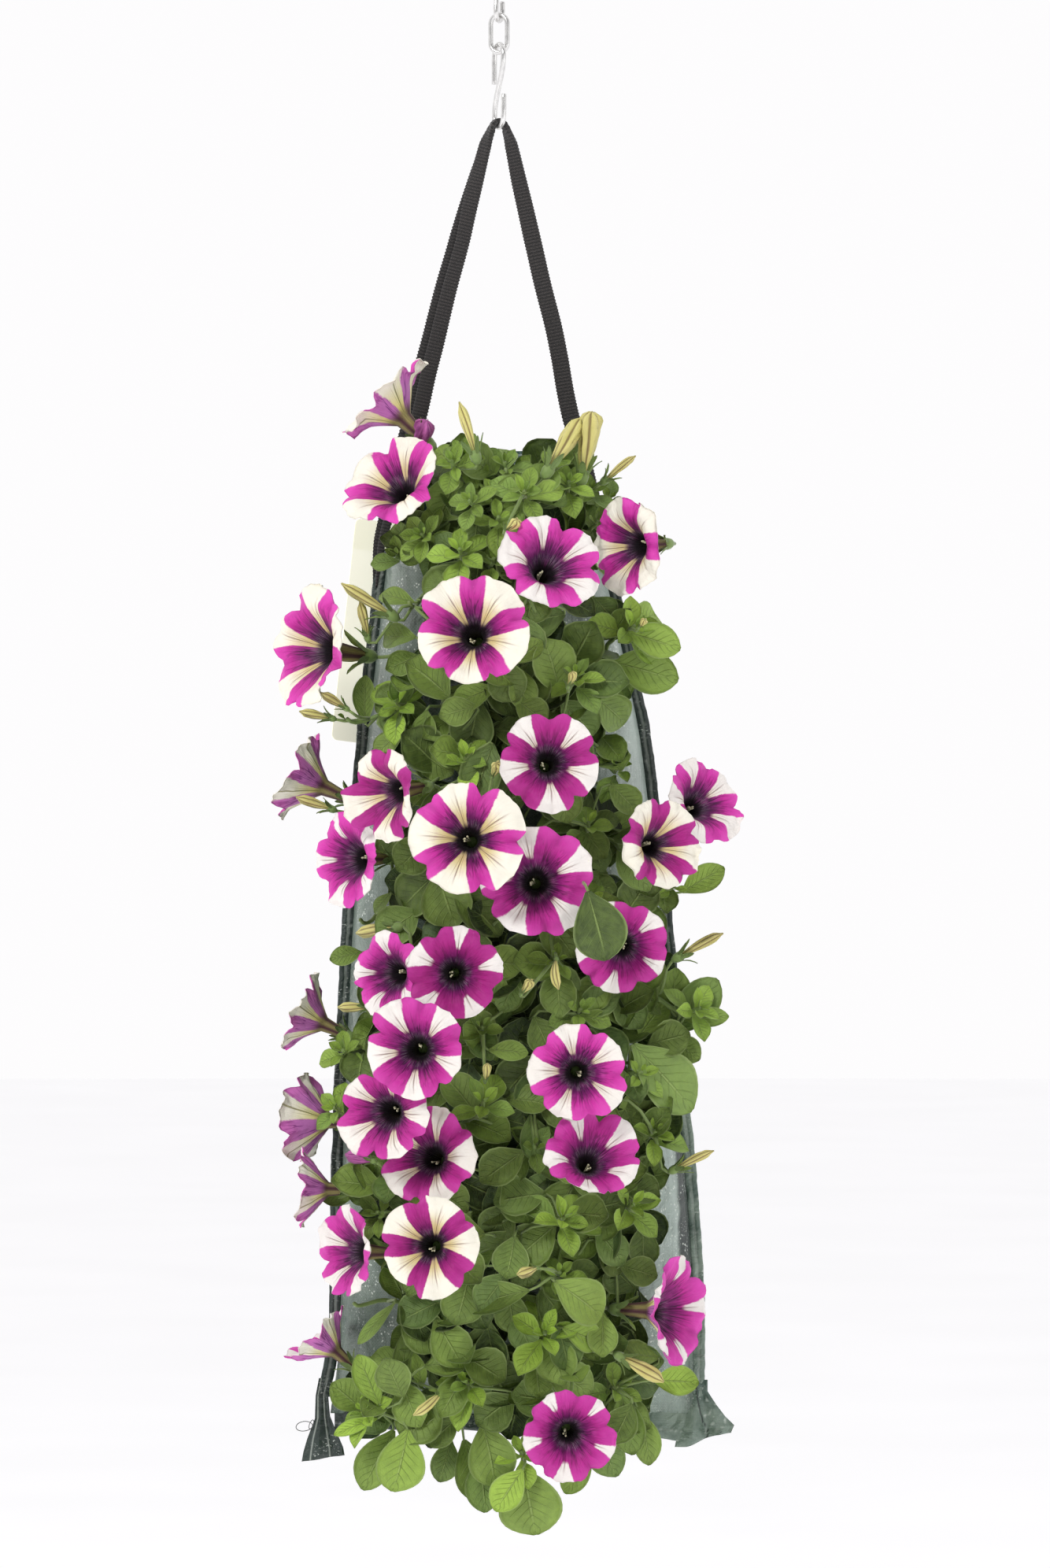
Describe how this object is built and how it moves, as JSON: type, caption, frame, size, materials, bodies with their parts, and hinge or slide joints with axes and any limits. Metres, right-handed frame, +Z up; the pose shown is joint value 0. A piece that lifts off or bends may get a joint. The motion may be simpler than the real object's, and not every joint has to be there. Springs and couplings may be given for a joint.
{
  "type": "petunia hanging planting bag",
  "caption": "Tall woven planting bag of petunias, hung by a webbing strap from S-hooks and a chain link; leafy plants with striped trumpet blooms grow from its mouth and front slits.",
  "frame": {"origin": "inner saddle of the top S-hook's upper curl, where the whole thing hangs", "axes": "+Z up along the hang line, -Y towards the front of the bag (the side with the flowers), +X to the right as seen from the front"},
  "size_m": [0.291, 0.2509, 0.9974],
  "materials": {
    "zinc_plated_steel": "gloss",
    "black_webbing": "matte",
    "woven_polyethylene": "satin",
    "potting_soil": "matte",
    "label_plastic": "satin",
    "petunia_leaf": "satin",
    "petunia_petal": "matte"
  },
  "bodies": {
    "root": {"bag_back_panel": "woven_polyethylene", "bag_front_panel": "woven_polyethylene", "bloom_01": "petunia_petal", "bloom_02": "petunia_petal", "bloom_03": "petunia_petal", "bloom_04": "petunia_petal", "bloom_05": "petunia_petal", "bloom_06": "petunia_petal", "bloom_07": "petunia_petal", "bloom_08": "petunia_petal", "bloom_09": "petunia_petal", "bloom_10": "petunia_petal", "bloom_11": "petunia_petal", "bloom_12": "petunia_petal", "bloom_13": "petunia_petal", "bloom_14": "petunia_petal", "bloom_15": "petunia_petal", "bloom_16": "petunia_petal", "bloom_17": "petunia_petal", "bloom_18": "petunia_petal", "bloom_19": "petunia_petal", "bloom_20": "petunia_petal", "bloom_21": "petunia_petal", "bloom_22": "petunia_petal", "bloom_23": "petunia_petal", "bloom_24": "petunia_petal", "bloom_25": "petunia_petal", "bloom_26": "petunia_petal", "bloom_27": "petunia_petal", "bloom_28": "petunia_petal", "bloom_29": "petunia_petal", "bloom_30": "petunia_petal", "bottom_hem": "woven_polyethylene", "carrying_strap": "black_webbing", "chain_link": "zinc_plated_steel", "left_side_hem": "woven_polyethylene", "petunia_row1_left": "petunia_leaf", "petunia_row1_right": "petunia_leaf", "petunia_row2_left": "petunia_leaf", "petunia_row2_right": "petunia_leaf", "petunia_row3_left": "petunia_leaf", "petunia_row3_right": "petunia_leaf", "petunia_row4_left": "petunia_leaf", "petunia_row4_right": "petunia_leaf", "petunia_row5_left": "petunia_leaf", "petunia_row5_right": "petunia_leaf", "petunia_top_left": "petunia_leaf", "petunia_top_right": "petunia_leaf", "plant_label": "label_plastic", "potting_soil": "potting_soil", "right_side_hem": "woven_polyethylene", "strap_s_hook": "zinc_plated_steel", "top_s_hook": "zinc_plated_steel"}
  },
  "joints": []
}
